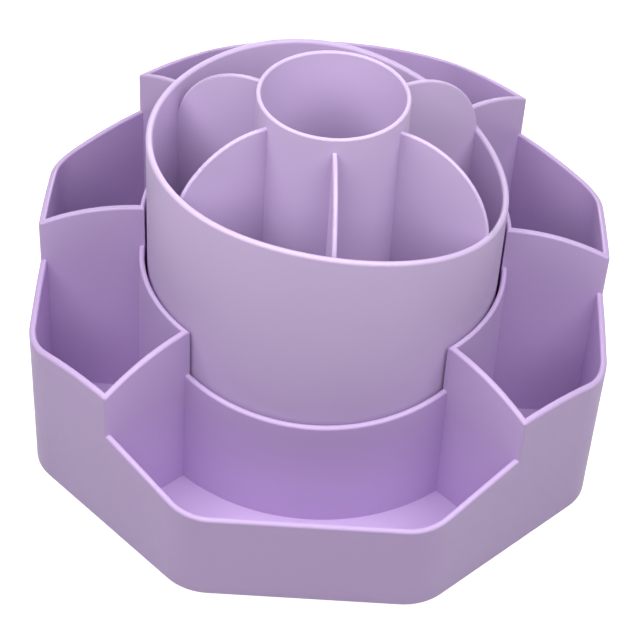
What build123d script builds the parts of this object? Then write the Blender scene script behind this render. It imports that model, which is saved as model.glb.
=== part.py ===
"""Rotating pen holder.

An eight-sided tray with six bays stands around a round drum. The drum has five vanes and a centre
tube, and it turns on a ball bearing in the tray's well. Sizes are in millimetres, +Z is up, and the
origin is on the table under the drum's axis. Azimuths are degrees from the front (-Y), positive
towards +X.
"""
import os
from math import cos, radians, sin, sqrt, tan

from build123d import *

os.makedirs("parts", exist_ok=True)

# Tray: outside
across_flats = 170.0
corner_radius = 17.0
tray_draft = 1.1
wall = 2.0
divider_thickness = 2.0
ring_wall = 1.6
well_draft = 0.9
rim_flat = 0.14
step_round = 0.9

# Tray: levels above the table
foot_lift = 0.5
skirt_depth = 1.2
floor_thickness = 2.0

# Tray: rim heights at the well, one for each pair of bays, and the curve that falls outward
side_front_height = 61.4
side_back_height = 75.6
back_height = 89.2
dome_start_radius = 53.0
dome_arc = 69.0
dome_sweep = 53.0

# Tray: the low front bay, whose two rims are plane and slope forward
front_wall_height = 31.3
front_wall_slope = 16.7
front_ring_height = 41.5
front_ring_slope = 13.2

# Tray: azimuths of the dividers on the right, which are mirrored on the left
front_divider_azimuth = 45.0
side_divider_azimuth = 90.0
back_divider_azimuth = 135.0

# Drum
drum_rim_height = 104.9
drum_rim_radius = 53.85
drum_draft = 0.7
drum_wall = 2.0
drum_rim_flat = 0.2
drum_gap = 0.85
drum_turn = 3.0
swoop_start = -27.0
swoop_radius = 204.0
swoop_sweep = 30.0
drum_floor_thickness = 2.2
drum_skirt_clearance = 1.2

# Tube and vanes
tube_height = 120.8
tube_radius = 22.35
tube_wall = 1.4
tube_rim_flat = 0.2
vane_count = 5
vane_pitch = 60.0
vane_thickness = 1.4
vane_rim_flat = 0.2
vane_height = 116.3
vane_flat_radius = 25.0

# Ball bearing
ball_count = 16
ball_diameter = 5.0
ball_pitch_radius = 38.0
ball_clearance = 0.03
groove_play = 0.1
groove_depth = 0.8
race_width = 10.0
race_thickness = 1.8
race_rib_width = 1.4
race_rib_height = 1.2
race_fit = 0.05
cage_thickness = 1.6
cage_width = 7.6
pocket_play = 0.15

# Hub of the tray and spindle of the drum
hub_wall = 2.0
hub_web = 2.0
hub_recess_radius = 15.0
hub_recess_height = 7.0
spindle_radius = 6.0
spindle_fit = 0.05
spindle_boss_rise = 6.5
bush_wall = 1.6
bush_flange_width = 3.0
bush_flange_thickness = 1.0
bush_seat_fit = 0.02

# Washer and screw
washer_radius = 12.0
washer_thickness = 1.2
washer_play = 0.15
washer_hole_play = 0.2
screw_radius = 2.0
screw_length = 12.0
screw_hole_fit = 0.03
screw_hole_spare = 0.5
screw_head_radius = 4.0
screw_head_height = 2.6
screw_slot_width = 1.0
screw_slot_length = 5.0
screw_slot_depth = 1.2

# Cover under the hub
cover_thickness = 1.1
cover_ledge = 1.2
cover_fit = 0.1
cover_lip_height = 2.4
cover_lip_wall = 1.2
cover_ring_wall = 1.8
cover_recess = 0.2

# Foot pads
pad_count = 8
pad_radius = 5.0
pad_corner_inset = 14.6
pad_ring_wall = 1.0
pad_ring_gap = 0.3
pad_ring_recess = 0.4

# Levels that follow from the sizes above, from the table up
floor_under = foot_lift + skirt_depth
floor_top = floor_under + floor_thickness
cover_bottom = foot_lift + cover_recess
cover_top = cover_bottom + cover_thickness
groove_floor = floor_top + race_thickness - groove_depth
ball_height = groove_floor + ball_clearance + ball_diameter / 2
upper_race_bottom = ball_height + ball_diameter / 2 + ball_clearance - groove_depth
drum_floor_under = upper_race_bottom + race_thickness
drum_floor_top = drum_floor_under + drum_floor_thickness
drum_bottom = floor_top + drum_skirt_clearance
web_top = hub_recess_height + hub_web
spindle_end = hub_recess_height - washer_play
washer_bottom = spindle_end - washer_thickness
spindle_top = drum_floor_top + spindle_boss_rise
screw_tip = washer_bottom + screw_length
tray_blank_top = back_height + 2 * wall
drum_blank_top = drum_rim_height + 2 * drum_wall
reach = across_flats

# How far a face must look up to be a rim, and how much of its length an upright edge must rise
upward_share = 0.3
upright_share = 0.97


def tray_apothem(height):
    """Half the width across flats of the tray's outside at a height above the table."""
    return across_flats / 2 + (height - foot_lift) * tan(radians(tray_draft))


def drum_radius(height):
    """Outside radius of the drum at a height above the table."""
    return drum_rim_radius - (drum_rim_height - height) * tan(radians(drum_draft))


def well_radius(height):
    """Inside radius of the well, whose draft opens upward.

    The running gap between drum and well is held at the side front rims.
    """
    gap_radius = drum_radius(side_front_height) + drum_gap
    return gap_radius + (height - side_front_height) * tan(radians(well_draft))


# The ring around the well has an upright outer face, so it gets thinner towards its top
ring_outer_radius = well_radius(side_front_height) + ring_wall


def rim_round(height):
    """Radius on both edges of a tray rim, as large as the thinnest wall at that height allows."""
    thinnest = min(wall, divider_thickness, ring_outer_radius - well_radius(height))
    return (thinnest - rim_flat) / 2


drum_rim_round = (drum_wall - drum_rim_flat) / 2
tube_rim_round = (tube_wall - tube_rim_flat) / 2
vane_rim_round = (vane_thickness - vane_rim_flat) / 2

# Race rings, centred on the circle of balls
race_inner_radius = ball_pitch_radius - race_width / 2
race_outer_radius = ball_pitch_radius + race_width / 2
groove_radius = ball_diameter / 2 + groove_play

# The foot pads stand a fixed way in from the octagon's rounded corners
corner_azimuth = 22.5
corner_centre_radius = (across_flats / 2 - corner_radius) / cos(radians(corner_azimuth))
pad_circle_radius = corner_centre_radius + corner_radius - pad_corner_inset

# Bush and cover radii
bush_inner_radius = spindle_radius + spindle_fit
bush_outer_radius = bush_inner_radius + bush_wall
bush_bore_radius = bush_outer_radius + bush_seat_fit
cover_mouth_radius = hub_recess_radius + cover_ledge


def heading(azimuth):
    """Unit vector of an azimuth in the plan."""
    return Vector(sin(radians(azimuth)), -cos(radians(azimuth)))


def crossing(azimuth):
    """Unit vector across an azimuth, towards the next larger one."""
    return Vector(cos(radians(azimuth)), sin(radians(azimuth)))


def wedge(start, start_inset, end, end_inset):
    """Corners of the plan between two azimuths, with each side moved inward by its inset."""
    turn = radians(end - start)
    apex_reach = (end_inset + start_inset * cos(turn)) / sin(turn)
    first_side = crossing(start) * start_inset
    last_side = crossing(end) * -end_inset
    return [
        first_side + heading(start) * apex_reach,
        first_side + heading(start) * reach,
        heading((start + end) / 2) * (2 * reach),
        last_side + heading(end) * reach,
    ]


def keep_wedge(corners, height):
    """Cut the part that is being built down to a wedge of the plan."""
    with BuildSketch() as plan:
        with BuildLine():
            Polyline(*corners, close=True)
        make_face()
    extrude(plan.sketch, amount=height, mode=Mode.INTERSECT)


def rounded_octagon(height, inset, radius):
    """Eight-sided outline of the tray at a height, inset from the outside."""
    with BuildSketch(Plane.XY.offset(height)) as outline:
        RegularPolygon(tray_apothem(height) - inset, 8, major_radius=False, rotation=corner_azimuth)
        fillet(outline.vertices(), radius)
    return outline.sketch


def dome_cutter(ring_height, corners):
    """All that lies above a bay's rim, which is level at the well and falls outward in an arc."""
    centre_height = ring_height - dome_arc
    outer_radius = dome_start_radius + dome_arc * sin(radians(dome_sweep))
    outer_height = centre_height + dome_arc * cos(radians(dome_sweep))
    top = tray_blank_top + wall
    with BuildPart() as cutter:
        with BuildSketch(Plane.XZ):
            with BuildLine():
                Line((0, ring_height), (dome_start_radius, ring_height))
                RadiusArc((dome_start_radius, ring_height), (outer_radius, outer_height), dome_arc)
                Polyline((outer_radius, outer_height), (outer_radius, top), (0, top), (0, ring_height))
            make_face()
        revolve(axis=Axis.Z)
        keep_wedge(corners, top)
    return cutter.part


def front_cutter(corners):
    """All that lies above the front bay's rims: one slope for the outer wall, one for the ring."""
    split = -(ring_outer_radius + wall / 2)
    wall_rise = tan(radians(front_wall_slope))
    ring_rise = tan(radians(front_ring_slope))
    wall_front = -(tray_apothem(front_wall_height) - wall / 2)
    ring_front = -(ring_outer_radius - wall / 2)
    top = tray_blank_top + wall
    with BuildPart() as cutter:
        with BuildSketch(Plane.YZ):
            with BuildLine():
                Polyline(
                    (-reach, front_wall_height + (-reach - wall_front) * wall_rise),
                    (split, front_wall_height + (split - wall_front) * wall_rise),
                    (split, front_ring_height + (split - ring_front) * ring_rise),
                    (0, front_ring_height - ring_front * ring_rise),
                    (0, top),
                    (-reach, top),
                    close=True,
                )
            make_face()
        extrude(amount=reach, both=True)
        keep_wedge(corners, top)
    return cutter.part


def rim_faces(part, lowest, smallest):
    """Faces of a part that look up from above a height, the lowest first."""
    found = []
    for face in part.faces():
        centre = face.center()
        if face.area > smallest and centre.Z > lowest and face.normal_at(centre).Z > upward_share:
            found.append(face)
    return sorted(found, key=lambda face: face.center().Z)


def round_rims(part, lowest, smallest, shortest):
    """The part with the long edges of every rim rounded, one rim at a time from the lowest up."""
    for centre in [face.center() for face in rim_faces(part, lowest, smallest)]:
        rim = min(rim_faces(part, lowest, smallest), key=lambda face: (face.center() - centre).length)
        radius = rim_round(rim.bounding_box().max.Z)
        part = part.fillet(radius, [edge for edge in rim.edges() if edge.length > shortest])
    return part


def step_edges(part):
    """Upright edges on the tray's outside, where a divider stands above the next lower rim."""
    found = []
    for edge in part.edges():
        start, end, middle = edge @ 0, edge @ 1, edge @ 0.5
        upright = abs(end.Z - start.Z) > upright_share * edge.length
        outside = sqrt(middle.X**2 + middle.Y**2) > across_flats / 2 - 2 * wall
        if upright and outside and edge.length > 2 * wall and min(start.Z, end.Z) > front_wall_height:
            found.append(edge)
    return found


def ring(inner, outer, bottom, height):
    """Flat ring added to, or cut from, the part that is being built."""
    with BuildSketch(Plane.XY.offset(bottom)) as face:
        Circle(outer)
        Circle(inner, mode=Mode.SUBTRACT)
    extrude(face.sketch, amount=height)


def race_ribs(bottom):
    """Two ribs that hold a race by its outer and inner edges, from a height upward."""
    outer_seat = race_outer_radius + race_fit
    inner_seat = race_inner_radius - race_fit
    ring(outer_seat, outer_seat + race_rib_width, bottom, race_rib_height)
    ring(inner_seat - race_rib_width, inner_seat, bottom, race_rib_height)


half_divider = divider_thickness / 2
divider_azimuths = (front_divider_azimuth, side_divider_azimuth, back_divider_azimuth)

# The six bays from the floor up: the inside of the octagon, less the ring and the dividers
with BuildPart() as bay_hollows:
    hollow_outline = rounded_octagon(floor_top, wall, corner_radius - wall)
    extrude(hollow_outline, amount=tray_blank_top - floor_top, taper=-tray_draft)
    with BuildSketch(Plane.XY.offset(floor_top)):
        Circle(ring_outer_radius)
        for azimuth in divider_azimuths:
            Rectangle(divider_thickness, 2 * reach, rotation=azimuth)
            Rectangle(divider_thickness, 2 * reach, rotation=-azimuth)
    extrude(amount=tray_blank_top, mode=Mode.SUBTRACT)

# The drum's well
with BuildPart() as well_hollow:
    with BuildSketch(Plane.XZ):
        Polygon(
            (0, floor_top),
            (well_radius(floor_top), floor_top),
            (well_radius(tray_blank_top), tray_blank_top),
            (0, tray_blank_top),
            align=None,
        )
    revolve(axis=Axis.Z)

# What is cut away above each rim
front_bay = wedge(-front_divider_azimuth, half_divider, front_divider_azimuth, half_divider)
rim_cutters = [front_cutter(front_bay)]
for start, end, height in (
    (front_divider_azimuth, side_divider_azimuth, side_front_height),
    (side_divider_azimuth, back_divider_azimuth, side_back_height),
):
    rim_cutters.append(dome_cutter(height, wedge(start, -half_divider, end, half_divider)))
    rim_cutters.append(dome_cutter(height, wedge(-end, half_divider, -start, -half_divider)))
back_corners = wedge(back_divider_azimuth, -half_divider, 360 - back_divider_azimuth, -half_divider)
rim_cutters.append(dome_cutter(back_height, back_corners))

# Outside with draft, then the bays, the well and the rims
with BuildPart() as tray_shell:
    tray_outline = rounded_octagon(foot_lift, 0, corner_radius)
    extrude(tray_outline, amount=tray_blank_top - foot_lift, taper=-tray_draft)
    add(bay_hollows.part, mode=Mode.SUBTRACT)
    add(well_hollow.part, mode=Mode.SUBTRACT)
    for cutter in rim_cutters:
        add(cutter, mode=Mode.SUBTRACT)
rounded_steps = tray_shell.part.fillet(step_round, step_edges(tray_shell.part))
rounded_shell = round_rims(rounded_steps, floor_top + wall, ring_outer_radius * wall, 2 * wall)

with BuildPart() as outer_tray:
    add(rounded_shell)
    # Shallow hollow under the floor
    skirt_outline = rounded_octagon(foot_lift, wall, corner_radius - wall)
    extrude(skirt_outline, amount=skirt_depth, taper=-tray_draft, mode=Mode.SUBTRACT)
    # Hub with its web, and the ring that holds the cover
    with BuildSketch(Plane.XY.offset(floor_under)):
        Circle(hub_recess_radius + hub_wall)
    extrude(amount=web_top - floor_under)
    with BuildSketch(Plane.XY.offset(foot_lift)):
        Circle(cover_mouth_radius + cover_ring_wall)
    extrude(amount=skirt_depth)
    with BuildSketch(Plane.XY.offset(foot_lift)):
        Circle(cover_mouth_radius)
    extrude(amount=cover_top - foot_lift, mode=Mode.SUBTRACT)
    with BuildSketch(Plane.XY.offset(foot_lift)):
        Circle(hub_recess_radius)
    extrude(amount=hub_recess_height - foot_lift, mode=Mode.SUBTRACT)
    with BuildSketch(Plane.XY.offset(foot_lift)):
        Circle(bush_bore_radius)
    extrude(amount=web_top, mode=Mode.SUBTRACT)
    # Ribs that hold the lower race
    race_ribs(floor_top)
    # Rings around the foot pads
    with BuildSketch(Plane.XY.offset(floor_under)):
        with PolarLocations(pad_circle_radius, pad_count, start_angle=corner_azimuth):
            Circle(pad_radius + pad_ring_gap + pad_ring_wall)
            Circle(pad_radius + pad_ring_gap, mode=Mode.SUBTRACT)
    extrude(amount=-(skirt_depth - pad_ring_recess))
outer_tray.part.label = "outer_tray"
export_step(outer_tray.part, "parts/outer_tray.step")

with BuildPart() as foot_pads:
    with BuildSketch():
        with PolarLocations(pad_circle_radius, pad_count, start_angle=corner_azimuth):
            Circle(pad_radius)
    extrude(amount=floor_under)
foot_pads.part.label = "foot_pads"
export_step(foot_pads.part, "parts/foot_pads.step")

with BuildPart() as hub_cover:
    with BuildSketch(Plane.XY.offset(cover_bottom)):
        Circle(cover_mouth_radius - cover_fit)
    extrude(amount=cover_thickness)
    ring(
        hub_recess_radius - cover_fit - cover_lip_wall,
        hub_recess_radius - cover_fit,
        cover_top,
        cover_lip_height,
    )
hub_cover.part.label = "hub_cover"
export_step(hub_cover.part, "parts/hub_cover.step")

with BuildPart() as hub_bush:
    ring(bush_inner_radius, bush_outer_radius, hub_recess_height, hub_web)
    ring(bush_inner_radius, bush_outer_radius + bush_flange_width, web_top, bush_flange_thickness)
hub_bush.part.label = "hub_bush"
export_step(hub_bush.part, "parts/hub_bush.step")

with BuildPart() as lower_race:
    ring(race_inner_radius, race_outer_radius, floor_top, race_thickness)
    with BuildSketch(Plane.XZ):
        with Locations((ball_pitch_radius, groove_floor + groove_radius)):
            Circle(groove_radius)
    revolve(axis=Axis.Z, mode=Mode.SUBTRACT)
lower_race.part.label = "lower_race"
export_step(lower_race.part, "parts/lower_race.step")

with BuildPart() as upper_race:
    ring(race_inner_radius, race_outer_radius, upper_race_bottom, race_thickness)
    with BuildSketch(Plane.XZ):
        with Locations((ball_pitch_radius, upper_race_bottom + groove_depth - groove_radius)):
            Circle(groove_radius)
    revolve(axis=Axis.Z, mode=Mode.SUBTRACT)
upper_race.part.label = "upper_race"
export_step(upper_race.part, "parts/upper_race.step")

with BuildPart() as ball_cage:
    ring(
        ball_pitch_radius - cage_width / 2,
        ball_pitch_radius + cage_width / 2,
        ball_height - cage_thickness / 2,
        cage_thickness,
    )
    with BuildSketch(Plane.XY.offset(ball_height - cage_thickness / 2)):
        with PolarLocations(ball_pitch_radius, ball_count):
            Circle(ball_diameter / 2 + pocket_play)
    extrude(amount=cage_thickness, mode=Mode.SUBTRACT)
ball_cage.part.label = "ball_cage"
export_step(ball_cage.part, "parts/ball_cage.step")

with BuildPart() as bearing_balls:
    with Locations((0, 0, ball_height)):
        with PolarLocations(ball_pitch_radius, ball_count):
            Sphere(ball_diameter / 2)
bearing_balls.part.label = "bearing_balls"
export_step(bearing_balls.part, "parts/bearing_balls.step")

# Plane through the axis in which the drum's rim swoops down, and the arc of the swoop
swoop_heading = crossing(drum_turn)
swoop_plane = Plane(origin=(0, 0, 0), x_dir=swoop_heading, z_dir=heading(drum_turn))
swoop_end = swoop_start + swoop_radius * sin(radians(swoop_sweep))
swoop_end_height = drum_rim_height - swoop_radius * (1 - cos(radians(swoop_sweep)))

with BuildPart() as drum_cup:
    # Wall with draft, floor, and a short skirt around the bearing
    with BuildSketch(Plane.XZ):
        Polygon(
            (drum_radius(drum_bottom), drum_bottom),
            (drum_radius(drum_blank_top), drum_blank_top),
            (drum_radius(drum_blank_top) - drum_wall, drum_blank_top),
            (drum_radius(drum_floor_top) - drum_wall, drum_floor_top),
            (0, drum_floor_top),
            (0, drum_floor_under),
            (drum_radius(drum_floor_under) - drum_wall, drum_floor_under),
            (drum_radius(drum_bottom) - drum_wall, drum_bottom),
            align=None,
        )
    revolve(axis=Axis.Z)
    # The rim: level, then an arc that swoops down to the low side
    with BuildSketch(swoop_plane) as swoop:
        with BuildLine():
            Line((-reach, drum_rim_height), (swoop_start, drum_rim_height))
            RadiusArc((swoop_start, drum_rim_height), (swoop_end, swoop_end_height), swoop_radius)
            Polyline(
                (swoop_end, swoop_end_height),
                (swoop_end, drum_blank_top + drum_wall),
                (-reach, drum_blank_top + drum_wall),
                (-reach, drum_rim_height),
            )
        make_face()
    extrude(amount=reach, both=True, mode=Mode.SUBTRACT)
    drum_rims = rim_faces(drum_cup.part, drum_rim_height / 2, drum_wall)
    rim_edges = [edge for rim in drum_rims for edge in rim.edges() if edge.length > 2 * drum_wall]
    fillet(rim_edges, drum_rim_round)

# One vane, whose top is level near the tube and rounds down into the middle of the drum's wall
draft_rate = tan(radians(drum_draft))
wall_middle = drum_rim_radius - drum_wall / 2
vane_reach = wall_middle - (drum_rim_height - vane_height) * draft_rate - vane_flat_radius
vane_arc = vane_reach / (1 + draft_rate)
vane_shoulder = vane_height - vane_arc
vane_root = drum_floor_top - drum_floor_thickness / 2
vane_first = -vane_pitch * (vane_count - 1) / 2
vane_plane = Plane(origin=(0, 0, 0), x_dir=heading(drum_turn), z_dir=crossing(drum_turn) * -1)
with BuildPart() as vane:
    with BuildSketch(vane_plane):
        with BuildLine():
            tube_side = tube_radius - tube_wall / 2
            shoulder = (vane_flat_radius + vane_arc, vane_shoulder)
            Polyline(
                (vane_flat_radius, vane_height),
                (tube_side, vane_height),
                (tube_side, vane_root),
                (drum_radius(vane_root) - drum_wall / 2, vane_root),
                shoulder,
            )
            RadiusArc((vane_flat_radius, vane_height), shoulder, vane_arc)
        make_face()
    extrude(amount=vane_thickness / 2, both=True)
    edges_along = [edge for edge in vane.edges() if edge.length > 2 * vane_thickness]
    top_edges = [edge for edge in edges_along if (edge @ 0.5).Z > vane_shoulder]
    fillet(top_edges, vane_rim_round)

with BuildPart() as drum:
    add(drum_cup.part)
    # Centre tube with a rounded rim
    with BuildSketch(Plane.XZ) as tube_section:
        with Locations((tube_radius - tube_wall / 2, (vane_root + tube_height) / 2)):
            Rectangle(tube_wall, tube_height - vane_root)
        fillet(tube_section.vertices().group_by(Axis.Y)[-1], tube_rim_round)
    revolve(axis=Axis.Z)
    # The vanes, spread evenly to both sides of the front one. The place behind the tube has none.
    with PolarLocations(0, vane_count, start_angle=vane_first, angular_range=vane_pitch * vane_count):
        add(vane.part)
    # Spindle boss, below and above the floor, with the screw's hole
    with BuildSketch(Plane.XY.offset(spindle_end)):
        Circle(spindle_radius)
    extrude(amount=spindle_top - spindle_end)
    with BuildSketch(Plane.XY.offset(spindle_end)):
        Circle(screw_radius + screw_hole_fit)
    extrude(amount=screw_tip + screw_hole_spare - spindle_end, mode=Mode.SUBTRACT)
    # Ribs that hold the upper race
    race_ribs(drum_floor_under - race_rib_height)
drum.part.label = "drum"
export_step(drum.part, "parts/drum.step")

with BuildPart() as retaining_washer:
    ring(screw_radius + washer_hole_play, washer_radius, washer_bottom, washer_thickness)
retaining_washer.part.label = "retaining_washer"
export_step(retaining_washer.part, "parts/retaining_washer.step")

with BuildPart() as centre_screw:
    with BuildSketch(Plane.XY.offset(washer_bottom)):
        Circle(screw_radius)
    extrude(amount=screw_length)
    with BuildSketch(Plane.XY.offset(washer_bottom - screw_head_height)):
        Circle(screw_head_radius)
    extrude(amount=screw_head_height)
    fillet(centre_screw.faces().sort_by(Axis.Z)[0].edges(), screw_head_height / 2)
    chamfer(centre_screw.faces().sort_by(Axis.Z)[-1].edges(), screw_radius / 3)
    with BuildSketch(Plane.XY.offset(washer_bottom - screw_head_height)):
        Rectangle(screw_slot_length, screw_slot_width)
        Rectangle(screw_slot_width, screw_slot_length)
    extrude(amount=screw_slot_depth, mode=Mode.SUBTRACT)
centre_screw.part.label = "centre_screw"
export_step(centre_screw.part, "parts/centre_screw.step")
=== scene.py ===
"""Looks of the rotating pen holder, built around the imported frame.

The tray, the drum and the bearing are the frame's own solids and get their finishes here. The pieces
whose small relief matters up close are modelled here: the ribbed foot pads, the snap-in hub cover, the
threaded screw, and the marks that the ejector pins leave under the tray. Everything is in metres in the
frame's axes, and sizes are written in millimetres and turned to metres by MM.
"""
import logging
import math
from dataclasses import dataclass, field
from enum import Enum
from typing import Any, Callable, Dict, List, Optional, Sequence, Tuple, Union

import bmesh
import bpy
from mathutils import Matrix, Vector

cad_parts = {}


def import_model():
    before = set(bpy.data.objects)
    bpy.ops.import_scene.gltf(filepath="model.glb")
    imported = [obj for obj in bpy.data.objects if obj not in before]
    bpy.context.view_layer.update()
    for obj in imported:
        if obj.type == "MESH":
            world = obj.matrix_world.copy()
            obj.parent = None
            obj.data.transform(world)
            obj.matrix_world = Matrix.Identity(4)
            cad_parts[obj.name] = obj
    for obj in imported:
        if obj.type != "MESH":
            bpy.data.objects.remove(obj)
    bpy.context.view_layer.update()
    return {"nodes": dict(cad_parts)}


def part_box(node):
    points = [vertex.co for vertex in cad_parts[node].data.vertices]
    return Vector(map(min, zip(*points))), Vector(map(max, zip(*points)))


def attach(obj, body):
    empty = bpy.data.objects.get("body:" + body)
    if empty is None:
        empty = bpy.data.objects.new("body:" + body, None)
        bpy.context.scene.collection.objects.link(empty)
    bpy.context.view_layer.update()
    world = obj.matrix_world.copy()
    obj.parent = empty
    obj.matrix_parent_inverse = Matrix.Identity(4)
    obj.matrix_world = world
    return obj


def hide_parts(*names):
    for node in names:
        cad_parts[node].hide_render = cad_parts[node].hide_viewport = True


LOG = logging.getLogger("pen_holder")
MM = 0.001
FULL_TURN = 2.0 * math.pi
# A face is level where its normal's z is beyond this, up or down
LEVEL = 0.99
# How far from a level, in millimetres, a point may be and still be picked with it
PICK_MARGIN = 0.1
# Points nearer than this, in millimetres, are merged when a piece is finished
MERGE_DISTANCE = 0.0005
SMOOTH_ANGLE_DEG = 35.0
# Blender's wave texture multiplies distances by this before it takes their sine
WAVE_FACTOR = 20.0
WHITE = (1.0, 1.0, 1.0, 1.0)


class Body(Enum):
    """Rigid bodies of the frame that a piece can ride on."""

    TRAY = "tray"
    CAGE = "cage"
    DRUM = "drum"


class Slot(Enum):
    """Material slots of the record."""

    TRAY = "tray_plastic"
    DRUM = "drum_plastic"
    COVER = "cover_plastic"
    RACE = "race_acetal"
    CAGE = "cage_nylon"
    BALLS = "ball_steel"
    ZINC = "zinc_steel"
    PADS = "pad_rubber"


def srgb(hex_colour: str) -> Tuple[float, float, float, float]:
    """Turn an sRGB hex colour into a linear colour with full alpha.

    Args:
        hex_colour: Six hex digits, with or without a leading hash.

    Returns:
        Red, green, blue and alpha, linear.
    """
    digits = hex_colour.lstrip("#")
    channels = [int(digits[i : i + 2], 16) / 255.0 for i in (0, 2, 4)]
    linear = [c / 12.92 if c <= 0.04045 else ((c + 0.055) / 1.055) ** 2.4 for c in channels]
    return linear[0], linear[1], linear[2], 1.0


def per_metre(size_mm: float) -> float:
    """Texture scale that repeats a pattern about once in a size given in millimetres."""
    return 1.0 / (size_mm * MM)


def add_node(
    tree: bpy.types.NodeTree,
    kind: str,
    settings: Optional[Dict[Union[str, int], Any]] = None,
    links: Optional[Dict[Union[str, int], bpy.types.NodeSocket]] = None,
) -> bpy.types.Node:
    """Add a shader node with its settings and its incoming links.

    Args:
        tree: Node tree that gets the node.
        kind: Type name of the node.
        settings: Values by attribute name, or by name or number of an input.
        links: Output sockets, by name or number of the input that each one feeds.

    Returns:
        The new node.
    """
    node = tree.nodes.new(kind)
    for name, value in (settings or {}).items():
        if isinstance(name, str) and hasattr(node, name):
            setattr(node, name, value)
        else:
            node.inputs[name].default_value = value
    for name, socket in (links or {}).items():
        tree.links.new(socket, node.inputs[name])
    return node


def new_material(name: str) -> Tuple[bpy.types.Material, bpy.types.NodeTree]:
    """Make an empty node material.

    Args:
        name: Name of the material.

    Returns:
        The material and its empty node tree.
    """
    material = bpy.data.materials.new(name)
    material.use_nodes = True
    material.node_tree.nodes.clear()
    return material, material.node_tree


@dataclass(frozen=True)
class MouldedFinish:
    """Injection-moulded plastic with the fine satin of a spark-eroded mould.

    The eye reads it as soft and even: broad dull highlights, bright thin rims, and a colour that gets
    deeper where the light has bounced from wall to wall.
    """

    name: str
    colour: str
    shade: str
    roughness: float
    ior: float
    mottle_mm: float = 38.0
    mottle_share: float = 0.35
    mottle_band: Tuple[float, float] = (0.35, 0.65)
    grain_mm: float = 0.45
    grain_depth_mm: float = 0.006
    ripple_mm: float = 16.0
    ripple_depth_mm: float = 0.02
    rub_mm: float = 1.6
    rub_share: float = 0.05
    rub_band: Tuple[float, float] = (0.3, 0.7)
    rub_turn: Tuple[float, float, float] = (0.3, 0.2, 0.6)
    rub_stretch: Tuple[float, float, float] = (1.0, 0.18, 0.5)
    translucency: float = 0.0
    translucent_depth_mm: float = 1.2

    def build(self) -> bpy.types.Material:
        """Build the material.

        Returns:
            The finished material.
        """
        material, tree = new_material(self.name)
        place = add_node(tree, "ShaderNodeTexCoord").outputs["Object"]
        # Slow change of tint, as pigment spreads unevenly in the melt
        mottle = add_node(
            tree,
            "ShaderNodeTexNoise",
            {"Scale": per_metre(self.mottle_mm), "Detail": 3.0, "Roughness": 0.45},
            {"Vector": place},
        )
        mottle_range = add_node(
            tree,
            "ShaderNodeMapRange",
            {
                "From Min": self.mottle_band[0],
                "From Max": self.mottle_band[1],
                "To Max": self.mottle_share,
            },
            {"Value": mottle.outputs["Fac"]},
        )
        colour = add_node(
            tree,
            "ShaderNodeMix",
            {"data_type": "RGBA", 6: srgb(self.colour), 7: srgb(self.shade)},
            {0: mottle_range.outputs["Result"]},
        )
        # Faint handling rubs: long thin noise that polishes or dulls the satin a little
        rub_place = add_node(
            tree,
            "ShaderNodeMapping",
            {"Rotation": self.rub_turn, "Scale": self.rub_stretch},
            {"Vector": place},
        )
        rub = add_node(
            tree,
            "ShaderNodeTexNoise",
            {"Scale": per_metre(self.rub_mm), "Detail": 4.0, "Roughness": 0.6},
            {"Vector": rub_place.outputs["Vector"]},
        )
        roughness = add_node(
            tree,
            "ShaderNodeMapRange",
            {
                "From Min": self.rub_band[0],
                "From Max": self.rub_band[1],
                "To Min": self.roughness - self.rub_share,
                "To Max": self.roughness + self.rub_share,
            },
            {"Value": rub.outputs["Fac"]},
        )
        # Spark-eroded grain, about 0.15 mm in the mould and drawn coarser so that it shows up close
        grain = add_node(
            tree,
            "ShaderNodeTexVoronoi",
            {"feature": "SMOOTH_F1", "Scale": per_metre(self.grain_mm), "Smoothness": 0.8},
            {"Vector": place},
        )
        grain_bump = add_node(
            tree,
            "ShaderNodeBump",
            {"Strength": 1.0, "Distance": self.grain_depth_mm * MM},
            {"Height": grain.outputs["Distance"]},
        )
        # Very slow waves of shrinkage over the flat walls
        ripple = add_node(
            tree,
            "ShaderNodeTexNoise",
            {"Scale": per_metre(self.ripple_mm), "Detail": 1.0},
            {"Vector": place},
        )
        ripple_bump = add_node(
            tree,
            "ShaderNodeBump",
            {"Strength": 1.0, "Distance": self.ripple_depth_mm * MM},
            {"Height": ripple.outputs["Fac"], "Normal": grain_bump.outputs["Normal"]},
        )
        shader = add_node(
            tree,
            "ShaderNodeBsdfPrincipled",
            {
                "IOR": self.ior,
                "Subsurface Weight": self.translucency,
                "Subsurface Radius": (1.0, 0.75, 1.2),
                "Subsurface Scale": self.translucent_depth_mm * MM,
            },
            {
                "Base Color": colour.outputs[2],
                "Roughness": roughness.outputs["Result"],
                "Normal": ripple_bump.outputs["Normal"],
            },
        )
        add_node(tree, "ShaderNodeOutputMaterial", links={"Surface": shader.outputs["BSDF"]})
        return material


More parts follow.
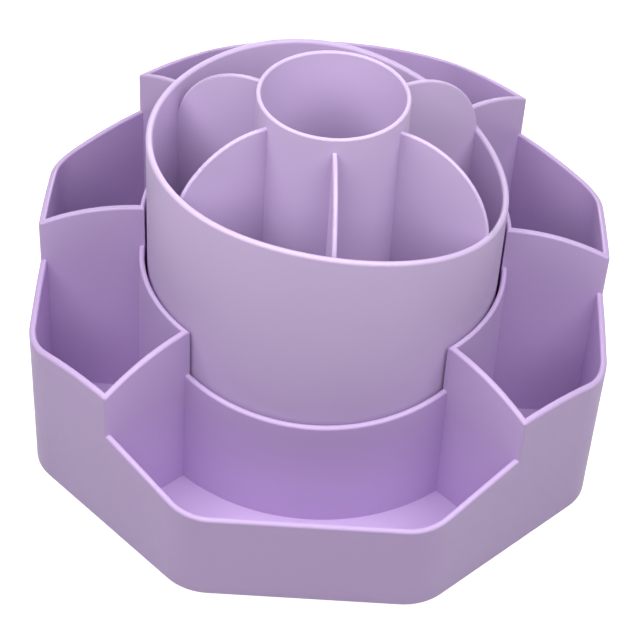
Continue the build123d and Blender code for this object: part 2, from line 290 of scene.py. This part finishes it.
@dataclass(frozen=True)
class MetalFinish:
    """Steel, either ground and polished or turned and zinc plated.

    Balls read as small clean mirrors; plated steel reads as a greyish satin with fine turning marks.
    """

    name: str
    colour: str
    tarnish: str
    roughness: float
    mark_mm: float
    mark_depth_mm: float
    cloud_times: float = 8.0
    roughness_spread: float = 0.3

    def build(self) -> bpy.types.Material:
        """Build the material.

        Returns:
            The finished material.
        """
        material, tree = new_material(self.name)
        place = add_node(tree, "ShaderNodeTexCoord").outputs["Object"]
        cloud = add_node(
            tree,
            "ShaderNodeTexNoise",
            {"Scale": per_metre(self.mark_mm * self.cloud_times), "Detail": 4.0},
            {"Vector": place},
        )
        colour = add_node(
            tree,
            "ShaderNodeMix",
            {"data_type": "RGBA", 6: srgb(self.colour), 7: srgb(self.tarnish)},
            {0: cloud.outputs["Fac"]},
        )
        roughness = add_node(
            tree,
            "ShaderNodeMapRange",
            {
                "To Min": self.roughness * (1.0 - self.roughness_spread),
                "To Max": self.roughness * (1.0 + self.roughness_spread),
            },
            {"Value": cloud.outputs["Fac"]},
        )
        # Turning marks are rings about the upright axis
        marks = add_node(
            tree,
            "ShaderNodeTexWave",
            {
                "wave_type": "RINGS",
                "rings_direction": "Z",
                "Scale": per_metre(self.mark_mm) / WAVE_FACTOR,
                "Distortion": 1.5,
            },
            {"Vector": place},
        )
        bump = add_node(
            tree,
            "ShaderNodeBump",
            {"Strength": 0.5, "Distance": self.mark_depth_mm * MM},
            {"Height": marks.outputs["Fac"]},
        )
        shader = add_node(
            tree,
            "ShaderNodeBsdfPrincipled",
            {"Metallic": 1.0},
            {
                "Base Color": colour.outputs[2],
                "Roughness": roughness.outputs["Result"],
                "Normal": bump.outputs["Normal"],
            },
        )
        add_node(tree, "ShaderNodeOutputMaterial", links={"Surface": shader.outputs["BSDF"]})
        return material


@dataclass(frozen=True)
class RubberFinish:
    """Moulded non-slip rubber: dark, matt, a little dusty where it has been handled."""

    name: str
    colour: str
    dust: str
    roughness: float
    speck_mm: float
    speck_depth_mm: float = 0.01
    dusty_band: Tuple[float, float] = (0.45, 0.75)
    dusty_share: float = 0.4

    def build(self) -> bpy.types.Material:
        """Build the material.

        Returns:
            The finished material.
        """
        material, tree = new_material(self.name)
        place = add_node(tree, "ShaderNodeTexCoord").outputs["Object"]
        speck = add_node(
            tree,
            "ShaderNodeTexNoise",
            {"Scale": per_metre(self.speck_mm), "Detail": 6.0, "Roughness": 0.7},
            {"Vector": place},
        )
        dusty = add_node(
            tree,
            "ShaderNodeMapRange",
            {
                "From Min": self.dusty_band[0],
                "From Max": self.dusty_band[1],
                "To Max": self.dusty_share,
            },
            {"Value": speck.outputs["Fac"]},
        )
        colour = add_node(
            tree,
            "ShaderNodeMix",
            {"data_type": "RGBA", 6: srgb(self.colour), 7: srgb(self.dust)},
            {0: dusty.outputs["Result"]},
        )
        bump = add_node(
            tree,
            "ShaderNodeBump",
            {"Strength": 1.0, "Distance": self.speck_depth_mm * MM},
            {"Height": speck.outputs["Fac"]},
        )
        shader = add_node(
            tree,
            "ShaderNodeBsdfPrincipled",
            {"Roughness": self.roughness, "IOR": 1.52},
            {"Base Color": colour.outputs[2], "Normal": bump.outputs["Normal"]},
        )
        add_node(tree, "ShaderNodeOutputMaterial", links={"Surface": shader.outputs["BSDF"]})
        return material


Finish = Union[MouldedFinish, MetalFinish, RubberFinish]
Materials = Dict[str, bpy.types.Material]

# Polypropylene mouldings in pastel lavender; the pigment is the same in tray, drum and cover, and the
# drum's lighter, greyer colour is painted light
LAVENDER_TRAY = MouldedFinish("lavender_polypropylene_tray", "#C4ABD7", "#C0A6D3", 0.50, 1.49)
# Painted light: the drum is coloured lighter and greyer than the tray, standing in for the brighter
# light on its high walls and vanes
LAVENDER_DRUM_PAINTED_LIGHTER = MouldedFinish("lavender_polypropylene_drum_painted_lighter", "#C7B2D7", "#C3ADD3", 0.50, 1.49)
LAVENDER_COVER = MouldedFinish(
    "lavender_polypropylene_cover", "#C4ABD7", "#BDA3D0", 0.52, 1.49, grain_mm=0.35
)
# Acetal bearing parts: opaque milky white with a slippery gloss
WHITE_ACETAL = MouldedFinish(
    "white_acetal", "#ECEBE4", "#E2E0D6", 0.30, 1.48,
    mottle_mm=9.0, grain_depth_mm=0.003, translucency=0.25,
)
# Unpigmented nylon: warm ivory and a little see-through at its edges
NATURAL_NYLON = MouldedFinish(
    "natural_nylon", "#E6DFC9", "#DAD0B4", 0.38, 1.53,
    mottle_mm=7.0, grain_depth_mm=0.004, translucency=0.35,
)
BEARING_STEEL = MetalFinish("polished_bearing_steel", "#C9CBCE", "#BDBFC3", 0.08, 0.5, 0.0005)
ZINC_PLATE = MetalFinish("zinc_plated_steel", "#BFC4C8", "#A4A9AF", 0.30, 0.3, 0.004)
PAD_RUBBER = RubberFinish("non_slip_rubber", "#4A4A4C", "#77757A", 0.85, 0.7)


def material_of(finish: Finish, made: Materials) -> bpy.types.Material:
    """Make a finish's material once and reuse it afterwards.

    Args:
        finish: The finish that is wanted.
        made: Materials made so far by name.

    Returns:
        The material of that finish.
    """
    if finish.name not in made:
        made[finish.name] = finish.build()
    return made[finish.name]


def dress_node(target: bpy.types.Object, finish: Finish, made: Materials) -> None:
    """Put a finish in every material slot of a solid of the frame, which keeps its shape.

    Args:
        target: The frame's object.
        finish: The finish it gets.
        made: Materials made so far by name.
    """
    material = material_of(finish, made)
    if not target.material_slots:
        target.data.materials.append(material)
    for slot in target.material_slots:
        slot.material = material
    LOG.info("node %s dressed in %s", target.name, material.name)


def edit(part: str) -> None:
    """Enter edit mode with one kind of element to pick: VERT, EDGE or FACE."""
    bpy.ops.object.mode_set(mode="EDIT")
    bpy.ops.mesh.select_mode(type=part)


def pick_faces(test: Callable[[Vector, Vector], bool]) -> None:
    """Select just the faces that pass a test of their middle and their normal."""
    edit("FACE")
    bpy.ops.mesh.select_all(action="DESELECT")
    mesh = bmesh.from_edit_mesh(bpy.context.object.data)
    for face in mesh.faces:
        face.select_set(test(face.calc_center_median(), face.normal))
    bmesh.update_edit_mesh(bpy.context.object.data)


def pick_edges(test: Callable[[Vector, Vector], bool]) -> None:
    """Select just the edges that pass a test of their two ends."""
    edit("EDGE")
    bpy.ops.mesh.select_all(action="DESELECT")
    mesh = bmesh.from_edit_mesh(bpy.context.object.data)
    for edge in mesh.edges:
        edge.select_set(test(edge.verts[0].co, edge.verts[1].co))
    bmesh.update_edit_mesh(bpy.context.object.data)


def add_disc(
    name: str,
    radius: float,
    low: float,
    high: float,
    centre: Vector,
    sides: int,
) -> bpy.types.Object:
    """Start a piece from an upright cylinder at its size and place, in millimetres.

    Args:
        name: Name of the piece.
        radius: Radius of the cylinder.
        low: Height of its lower face.
        high: Height of its upper face.
        centre: Plan place of its axis.
        sides: Number of its sides.

    Returns:
        The new object, whose vertices are in the frame's axes.
    """
    bpy.ops.object.select_all(action="DESELECT")
    bpy.ops.mesh.primitive_cylinder_add(
        vertices=sides,
        radius=radius * MM,
        depth=(high - low) * MM,
        location=(centre.x * MM, centre.y * MM, (low + high) / 2.0 * MM),
    )
    bpy.ops.object.transform_apply(location=True, rotation=True, scale=True)
    piece = bpy.context.object
    piece.name = name
    piece.data.name = name
    return piece


def inset(width: float, rise: float = 0.0) -> None:
    """Inset the selected faces by a width, and raise them along their normal, in millimetres."""
    bpy.ops.mesh.inset(thickness=width * MM, depth=rise * MM)


def round_edges(radius: float, steps: int) -> None:
    """Round the selected edges, in millimetres."""
    bpy.ops.mesh.bevel(offset=radius * MM, segments=steps, affect="EDGES")


def looks_down(centre: Vector, normal: Vector) -> bool:
    """Whether a face looks straight down."""
    return normal.z < -LEVEL


def looks_up(centre: Vector, normal: Vector) -> bool:
    """Whether a face looks straight up."""
    return normal.z > LEVEL


def copy_around(piece: bpy.types.Object, count: int) -> bpy.types.Object:
    """Copy a piece evenly around the upright axis, each copy with its own mesh, and join them all.

    Args:
        piece: The piece that is copied.
        count: How many there are in the end.

    Returns:
        The joined piece, at the origin and untransformed.
    """
    copies = [piece]
    for _ in range(count - 1):
        bpy.ops.object.select_all(action="DESELECT")
        copies[-1].select_set(True)
        bpy.context.view_layer.objects.active = copies[-1]
        bpy.ops.object.duplicate(linked=False)
        bpy.ops.transform.rotate(
            value=FULL_TURN / count, orient_axis="Z", center_override=(0.0, 0.0, 0.0)
        )
        bpy.ops.object.transform_apply(location=True, rotation=True, scale=True)
        copies.append(bpy.context.object)
    bpy.ops.object.select_all(action="DESELECT")
    for copy in copies:
        copy.select_set(True)
    bpy.context.view_layer.objects.active = piece
    bpy.ops.object.join()
    return piece


def finish_piece(
    piece: bpy.types.Object,
    body: Body,
    finish: Finish,
    made: Materials,
    replaced: Sequence[str] = (),
) -> None:
    """Close a piece's modelling: face it outward, smooth it, dress it and seat it on its body.

    Args:
        piece: The modelled piece, in object mode or edit mode.
        body: Body that it rides on.
        finish: Its finish.
        made: Materials made so far by name.
        replaced: Nodes of the frame that it stands for.
    """
    edit("FACE")
    bpy.ops.mesh.select_all(action="SELECT")
    bpy.ops.mesh.remove_doubles(threshold=MERGE_DISTANCE * MM)
    bpy.ops.mesh.normals_make_consistent(inside=False)
    bpy.ops.object.mode_set(mode="OBJECT")
    bpy.ops.object.shade_smooth_by_angle(angle=math.radians(SMOOTH_ANGLE_DEG))
    piece.data.materials.append(material_of(finish, made))
    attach(piece, body.value)
    if replaced:
        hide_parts(*replaced)
    LOG.info("piece %s built with %d faces", piece.name, len(piece.data.polygons))


def box_mm(node: str) -> Tuple[Vector, Vector]:
    """Lowest and highest corner of a frame's node, in millimetres."""
    low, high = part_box(node)
    return Vector(low) / MM, Vector(high) / MM


@dataclass
class FootPads:
    """Eight moulded rubber pads with grip ribs, one modelled and the others copied from it."""

    count: int = 8
    first_azimuth_deg: float = 22.5
    radius: float = 5.0
    sides: int = 72
    crown: float = 0.3
    land: float = 0.7
    groove_width: float = 0.5
    groove_slope: float = 0.12
    groove_depth: float = 0.35
    grooves: int = 2
    round_steps: int = 3

    def build(self, made: Materials) -> None:
        """Model the pads from the outside in: crowned edge, then ribs and grooves."""
        low, high = box_mm("foot_pads")
        azimuth = math.radians(self.first_azimuth_deg)
        circle = (high.x - self.radius) / math.cos(azimuth)
        centre = Vector((math.sin(azimuth), -math.cos(azimuth), 0.0)) * circle
        pad = add_disc("ribbed_foot_pads", self.radius, low.z, high.z, centre, self.sides)
        pick_edges(lambda start, end: max(start.z, end.z) < (low.z + PICK_MARGIN) * MM)
        round_edges(self.crown, self.round_steps)
        pick_faces(looks_down)
        inset(self.land - self.crown)
        for _ in range(self.grooves):
            inset(self.groove_slope, -self.groove_depth)
            inset(self.groove_width)
            inset(self.groove_slope, self.groove_depth)
            inset(self.land)
        bpy.ops.object.mode_set(mode="OBJECT")
        copy_around(pad, self.count)
        finish_piece(pad, Body.TRAY, PAD_RUBBER, made, ["foot_pads"])


@dataclass
class HubCover:
    """Snap-in cap under the hub: plate, lip with a lead-in, pry notch, and the mark of its gate."""

    sides: int = 144
    plate: float = 1.1
    lip_outer: float = 14.9
    lip_wall: float = 1.2
    edge_round: float = 0.3
    round_steps: int = 3
    lead_in: float = 0.35
    notch_reach: float = 1.5
    notch_half_deg: float = 8.0
    notch_height: float = 0.5
    gate_radius: float = 3.0
    gate_depth: float = 0.3
    gate_slope: float = 0.2
    gate_stub: float = 0.8
    stub_slope: float = 0.1

    def build(self, made: Materials) -> None:
        """Model the cap from its plate: lip extruded upward, then the underside's small forms."""
        low, high = box_mm("hub_cover")
        radius = high.x
        plate_top = low.z + self.plate
        cap = add_disc("snap_in_hub_cover", radius, low.z, plate_top, Vector(), self.sides)
        pick_faces(looks_up)
        inset(radius - self.lip_outer)
        inset(self.lip_wall)
        lip_inner = self.lip_outer - self.lip_wall

        def on_lip(centre: Vector, normal: Vector) -> bool:
            return looks_up(centre, normal) and lip_inner < centre.xy.length / MM < self.lip_outer

        pick_faces(on_lip)
        rise = (high.z - plate_top) * MM
        bpy.ops.mesh.extrude_region_move(TRANSFORM_OT_translate={"value": (0.0, 0.0, rise)})
        self.shape_lead_in(high.z)
        self.shape_underside(low.z, radius)
        finish_piece(cap, Body.TRAY, LAVENDER_COVER, made, ["hub_cover"])

    def shape_lead_in(self, top: float) -> None:
        """Slope the lip's outer top edge, so that the cap finds its bore."""
        outside = (self.lip_outer - self.lip_wall / 2.0) * MM

        def lip_edge(start: Vector, end: Vector) -> bool:
            at_top = min(start.z, end.z) > (top - PICK_MARGIN) * MM
            return at_top and min(start.xy.length, end.xy.length) > outside

        pick_edges(lip_edge)
        round_edges(self.lead_in, 1)

    def shape_underside(self, floor: float, radius: float) -> None:
        """Round the rim, sink the gate's dimple with its stub, and lift the pry notch."""
        pick_edges(lambda start, end: max(start.z, end.z) < (floor + PICK_MARGIN) * MM)
        round_edges(self.edge_round, self.round_steps)
        pick_faces(looks_down)
        inset(self.notch_reach)
        inset(radius - self.edge_round - self.notch_reach - self.gate_radius)
        inset(self.gate_slope, -self.gate_depth)
        inset(self.gate_radius - self.gate_slope - self.gate_stub)
        inset(self.stub_slope, self.gate_depth / 2.0)
        half = math.radians(self.notch_half_deg)
        edge_start = (radius - self.edge_round) * MM

        def in_notch(centre: Vector, normal: Vector) -> bool:
            beside = abs(math.atan2(centre.x, -centre.y)) < half
            return beside and centre.xy.length > edge_start and centre.z < (floor + self.edge_round) * MM

        pick_faces(in_notch)
        bpy.ops.transform.translate(value=(0.0, 0.0, self.notch_height * MM))


@dataclass
class EjectorMarks:
    """Faint discs under the tray's floor, where ejector pins pushed the moulding out."""

    count: int = 8
    circle: float = 62.0
    first_azimuth_deg: float = 45.0
    radius: float = 3.0
    rise: float = 0.08
    bite: float = 0.05
    rim_width: float = 0.375
    slope: float = 0.05
    sides: int = 48

    def build(self, made: Materials) -> None:
        """Model one mark with a worn rim and copy it round the floor."""
        floor_under = box_mm("foot_pads")[1].z
        azimuth = math.radians(self.first_azimuth_deg)
        centre = Vector((math.sin(azimuth), -math.cos(azimuth), 0.0)) * self.circle
        low = floor_under - self.rise
        mark = add_disc("ejector_marks", self.radius, low, floor_under + self.bite, centre, self.sides)
        pick_edges(lambda start, end: max(start.z, end.z) < (low + self.rise / 2.0) * MM)
        round_edges(self.rise / 2.0, 2)
        pick_faces(looks_down)
        inset(self.rim_width)
        inset(self.slope, -self.rise / 2.0)
        bpy.ops.object.mode_set(mode="OBJECT")
        copy_around(mark, self.count)
        finish_piece(mark, Body.TRAY, LAVENDER_TRAY, made)


@dataclass
class CentreScrew:
    """Pan-head self-tapping screw with a coarse thread and a cross recess."""

    sides: int = 48
    head_radius: float = 4.0
    head_height: float = 2.6
    round_steps: int = 5
    shank_radius: float = 2.0
    core_radius: float = 1.5
    pitch: float = 1.4
    crest_width: float = 0.12
    root_width: float = 0.75
    recess_arm: float = 2.2
    recess_half_width: float = 0.55
    recess_depth: float = 1.3
    recess_taper: float = 0.6
    thread_bite: float = 0.2
    tip_length: float = 1.6
    tip_share: float = 0.35

    def build(self, made: Materials) -> None:
        """Model the core with its head, sink the recess, and join the thread to it."""
        low, high = box_mm("centre_screw")
        seat = low.z + self.head_height
        core = add_disc("threaded_centre_screw", self.head_radius, low.z, seat, Vector(), self.sides)
        self.shape_head(low.z)
        self.shape_core(seat, high.z)
        bpy.ops.object.mode_set(mode="OBJECT")
        ridge = self.build_thread(seat, high.z)
        self.cut_recess(core, low.z)
        bpy.ops.object.select_all(action="DESELECT")
        ridge.select_set(True)
        core.select_set(True)
        bpy.context.view_layer.objects.active = core
        bpy.ops.object.join()
        finish_piece(core, Body.DRUM, ZINC_PLATE, made, ["centre_screw"])

    def shape_head(self, bottom: float) -> None:
        """Round the pan head's lower edge, and draw in its upper face to the core."""
        pick_edges(lambda start, end: max(start.z, end.z) < (bottom + PICK_MARGIN) * MM)
        round_edges(self.head_height / 2.0, self.round_steps)
        pick_faces(looks_up)
        inset(self.head_radius - self.core_radius)

    def shape_core(self, seat: float, tip: float) -> None:
        """Extrude the core from the head, and draw its tip to a blunt cone."""
        for length, share in ((tip - seat - self.tip_length, 1.0), (self.tip_length, self.tip_share)):
            bpy.ops.mesh.extrude_region_move(TRANSFORM_OT_translate={"value": (0.0, 0.0, length * MM)})
            bpy.ops.transform.resize(value=(share, share, 1.0), center_override=(0.0, 0.0, 0.0))

    def build_thread(self, seat: float, tip: float) -> bpy.types.Object:
        """Sweep a ridge with a narrow crest round the core, and close both of its ends.

        Args:
            seat: Height of the head's upper face.
            tip: Height of the screw's end.

        Returns:
            The ridge as an object of its own.
        """
        bpy.ops.object.select_all(action="DESELECT")
        inner = self.core_radius - self.thread_bite
        middle = ((inner + self.shank_radius) / 2.0 * MM, 0.0, (seat + self.pitch) * MM)
        bpy.ops.mesh.primitive_plane_add(size=1.0, location=middle, rotation=(math.pi / 2.0, 0.0, 0.0))
        ridge = bpy.context.object
        ridge.name = "thread_ridge"
        ridge.scale = ((self.shank_radius - inner) * MM, self.root_width * MM, 1.0)
        bpy.ops.object.transform_apply(location=True, rotation=True, scale=True)
        pick_edges(lambda start, end: min(start.x, end.x) > middle[0])
        crest_share = self.crest_width / self.root_width
        bpy.ops.transform.resize(value=(1.0, 1.0, crest_share), center_override=middle)
        bpy.ops.mesh.select_all(action="SELECT")
        bpy.ops.mesh.delete(type="ONLY_FACE")
        bpy.ops.object.mode_set(mode="OBJECT")
        sweep = ridge.modifiers.new("sweep", "SCREW")
        sweep.axis = "Z"
        sweep.screw_offset = self.pitch * MM
        sweep.iterations = int((tip - seat - self.tip_length) / self.pitch) - 1
        sweep.steps = self.sides // 2
        sweep.render_steps = self.sides // 2
        bpy.ops.object.modifier_apply(modifier=sweep.name)
        edit("VERT")
        bpy.ops.mesh.select_all(action="SELECT")
        bpy.ops.mesh.fill_holes(sides=4)
        bpy.ops.object.mode_set(mode="OBJECT")
        return ridge

    def cut_recess(self, screw: bpy.types.Object, bottom: float) -> None:
        """Cut the cross recess into the head with two tapered blades.

        Args:
            screw: The screw's core with its head.
            bottom: Height of the head's lower face.
        """
        for turn in (0.0, math.pi / 2.0):
            bpy.ops.object.select_all(action="DESELECT")
            bpy.ops.mesh.primitive_cube_add(
                size=1.0,
                location=(0.0, 0.0, bottom * MM),
                rotation=(0.0, 0.0, turn),
            )
            blade = bpy.context.object
            blade.scale = tuple(
                2.0 * half * MM for half in (self.recess_arm, self.recess_half_width, self.recess_depth)
            )
            bpy.ops.object.transform_apply(location=True, rotation=True, scale=True)
            pick_faces(looks_up)
            bpy.ops.transform.resize(
                value=(self.recess_taper, self.recess_taper, 1.0), center_override=(0.0, 0.0, 0.0)
            )
            bpy.ops.object.mode_set(mode="OBJECT")
            bpy.ops.object.select_all(action="DESELECT")
            screw.select_set(True)
            bpy.context.view_layer.objects.active = screw
            cut = screw.modifiers.new("cross_recess", "BOOLEAN")
            cut.operation = "DIFFERENCE"
            cut.object = blade
            bpy.ops.object.modifier_apply(modifier=cut.name)
            bpy.data.objects.remove(blade, do_unlink=True)


@dataclass
class Tray:
    """The outer tray with the pads, the cover and the pin marks on its underside."""

    pads: FootPads = field(default_factory=FootPads)
    cover: HubCover = field(default_factory=HubCover)
    marks: EjectorMarks = field(default_factory=EjectorMarks)

    def build(self, nodes: Dict[str, bpy.types.Object], made: Materials) -> None:
        """Dress the tray's solid and build the pieces under it."""
        dress_node(nodes["outer_tray"], LAVENDER_TRAY, made)
        self.pads.build(made)
        self.cover.build(made)
        self.marks.build(made)


@dataclass
class BallBearing:
    """Races, cage, balls and hub bush, which all keep the frame's solids."""

    acetal: Tuple[str, ...] = ("lower_race", "upper_race", "hub_bush")

    def build(self, nodes: Dict[str, bpy.types.Object], made: Materials) -> None:
        """Dress the bearing's solids."""
        for name in self.acetal:
            dress_node(nodes[name], WHITE_ACETAL, made)
        dress_node(nodes["ball_cage"], NATURAL_NYLON, made)
        dress_node(nodes["bearing_balls"], BEARING_STEEL, made)


@dataclass
class Drum:
    """The turning drum with the washer and the screw that hold it down."""

    screw: CentreScrew = field(default_factory=CentreScrew)

    def build(self, nodes: Dict[str, bpy.types.Object], made: Materials) -> None:
        """Dress the drum and the washer, and build the screw."""
        dress_node(nodes["drum"], LAVENDER_DRUM_PAINTED_LIGHTER, made)
        dress_node(nodes["retaining_washer"], ZINC_PLATE, made)
        self.screw.build(made)


@dataclass
class PhotoCamera:
    """The photograph's viewpoint: a long lens, from the front and well above."""

    focal_px: float = 2308.5
    frame_px: float = 640.0
    sensor_mm: float = 36.0
    distance_mm: float = 717.2
    elevation_deg: float = 40.82
    azimuth_deg: float = -0.478
    roll_deg: float = 3.764
    aim_mm: Tuple[float, float, float] = (0.239, 0.0, 35.016)
    clip_m: Tuple[float, float] = (0.01, 20.0)

    def build(self) -> None:
        """Create the camera and make it the scene's camera."""
        azimuth = math.radians(self.azimuth_deg)
        elevation = math.radians(self.elevation_deg)
        roll = math.radians(self.roll_deg)
        back = Vector(
            (
                math.sin(azimuth) * math.cos(elevation),
                -math.cos(azimuth) * math.cos(elevation),
                math.sin(elevation),
            )
        )
        level_right = (-back).cross(Vector((0.0, 0.0, 1.0))).normalized()
        level_up = level_right.cross(-back)
        right = level_right * math.cos(roll) + level_up * math.sin(roll)
        up = level_up * math.cos(roll) - level_right * math.sin(roll)
        place = (Vector(self.aim_mm) + back * self.distance_mm) * MM
        data = bpy.data.cameras.new("photo_camera")
        data.sensor_width = self.sensor_mm
        data.lens = self.focal_px / self.frame_px * self.sensor_mm
        data.clip_start, data.clip_end = self.clip_m
        camera = bpy.data.objects.new("photo_camera", data)
        bpy.context.scene.collection.objects.link(camera)
        turn = Matrix((right, up, back)).transposed()
        camera.matrix_world = Matrix.Translation(place) @ turn.to_4x4()
        bpy.context.scene.camera = camera


@dataclass(frozen=True)
class Softbox:
    """A square lamp that faces the holder, placed by its azimuth from the front and its elevation."""

    name: str
    watts: float
    azimuth_deg: float
    elevation_deg: float
    distance_m: float
    size_m: float

    def build(self, aim: Vector) -> None:
        """Build the lamp, aimed at a point given in metres."""
        azimuth, elevation = math.radians(self.azimuth_deg), math.radians(self.elevation_deg)
        level = math.cos(elevation)
        away = Vector((math.sin(azimuth) * level, -math.cos(azimuth) * level, math.sin(elevation)))
        data = bpy.data.lights.new(self.name, "AREA")
        data.energy = self.watts
        data.size = self.size_m
        lamp = bpy.data.objects.new(self.name, data)
        bpy.context.scene.collection.objects.link(lamp)
        turn = (-away).to_track_quat("-Z", "Y").to_matrix().to_4x4()
        lamp.matrix_world = Matrix.Translation(aim + away * self.distance_m) @ turn


@dataclass
class Studio:
    """Plain pale floor, white surroundings, and soft lamps close to the holder.

    Near lamps give the photograph's fall of light: bright at the top, dimmer towards the table, and
    deep in the side bays.
    """

    floor_m: float = 12.0
    floor_colour: str = "#B3B3B4"
    floor_glow: float = 0.90
    floor_shown: float = 0.45
    sky_strength: float = 0.03
    aim_mm: Tuple[float, float, float] = (0.0, 0.0, 60.0)
    lamps: Tuple[Softbox, ...] = (
        Softbox("left_softbox", 0.92, -60.0, 55.0, 0.33, 0.25),
        Softbox("right_softbox", 0.90, 60.0, 55.0, 0.35, 0.25),
        Softbox("front_softbox", 0.40, 0.0, 37.0, 0.38, 0.25),
        Softbox("back_softbox", 1.45, 180.0, 14.0, 0.60, 0.30),
    )

    def build(self) -> None:
        """Build the floor, the surroundings and the lamps."""
        self.build_floor()
        self.build_surroundings()
        for lamp in self.lamps:
            lamp.build(Vector(self.aim_mm) * MM)
        bpy.context.scene.view_settings.view_transform = "Standard"
        LOG.info("studio built with %d lamps", len(self.lamps))

    def seen_directly(self, tree: bpy.types.NodeTree) -> bpy.types.NodeSocket:
        """Make a mask that is 1 where the camera sees a surface straight, or by mirror or glass.

        Args:
            tree: Node tree that gets the mask.

        Returns:
            The mask's output socket.
        """
        path = add_node(tree, "ShaderNodeLightPath")
        mirrored = add_node(
            tree,
            "ShaderNodeMath",
            {"operation": "MAXIMUM"},
            {0: path.outputs["Is Camera Ray"], 1: path.outputs["Is Glossy Ray"]},
        )
        seen = add_node(
            tree,
            "ShaderNodeMath",
            {"operation": "MAXIMUM"},
            {0: mirrored.outputs["Value"], 1: path.outputs["Is Transmission Ray"]},
        )
        return seen.outputs["Value"]

    def build_floor(self) -> None:
        """Build the floor: it shows white, and still takes the object's soft shadow."""
        bpy.ops.object.select_all(action="DESELECT")
        bpy.ops.mesh.primitive_plane_add(size=self.floor_m, location=(0.0, 0.0, 0.0))
        floor = bpy.context.object
        floor.name = "studio_floor"
        material, tree = new_material("white_paper_sweep")
        seen = self.seen_directly(tree)
        paper = add_node(tree, "ShaderNodeBsdfDiffuse", {"Color": srgb(self.floor_colour)})
        glow = add_node(
            tree,
            "ShaderNodeEmission",
            {"Color": WHITE, "Strength": self.floor_glow},
        )
        shown_grey = (self.floor_shown, self.floor_shown, self.floor_shown, 1.0)
        lit = add_node(tree, "ShaderNodeBsdfDiffuse", {"Color": shown_grey})
        shown = add_node(tree, "ShaderNodeAddShader", links={0: glow.outputs[0], 1: lit.outputs[0]})
        mixed = add_node(
            tree,
            "ShaderNodeMixShader",
            links={0: seen, 1: paper.outputs[0], 2: shown.outputs[0]},
        )
        add_node(tree, "ShaderNodeOutputMaterial", links={"Surface": mixed.outputs[0]})
        floor.data.materials.append(material)

    def build_surroundings(self) -> None:
        """Build the world: full white where it is seen, softer where it only lights."""
        world = bpy.data.worlds.new("white_studio")
        world.use_nodes = True
        tree = world.node_tree
        tree.nodes.clear()
        strength = add_node(
            tree,
            "ShaderNodeMapRange",
            {"To Min": self.sky_strength, "To Max": 1.0},
            {"Value": self.seen_directly(tree)},
        )
        background = add_node(
            tree,
            "ShaderNodeBackground",
            {"Color": WHITE},
            {"Strength": strength.outputs["Result"]},
        )
        add_node(tree, "ShaderNodeOutputWorld", links={"Surface": background.outputs["Background"]})
        bpy.context.scene.world = world


def main() -> None:
    """Load the frame, build and dress the sub-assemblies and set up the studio."""
    logging.basicConfig(level=logging.INFO, format="%(name)s: %(message)s")
    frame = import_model()
    made: Materials = {}
    for assembly in (Tray(), BallBearing(), Drum()):
        assembly.build(frame["nodes"], made)
        LOG.info("sub-assembly %s done", type(assembly).__name__)
    PhotoCamera().build()
    Studio().build()


if __name__ == "__main__":
    main()
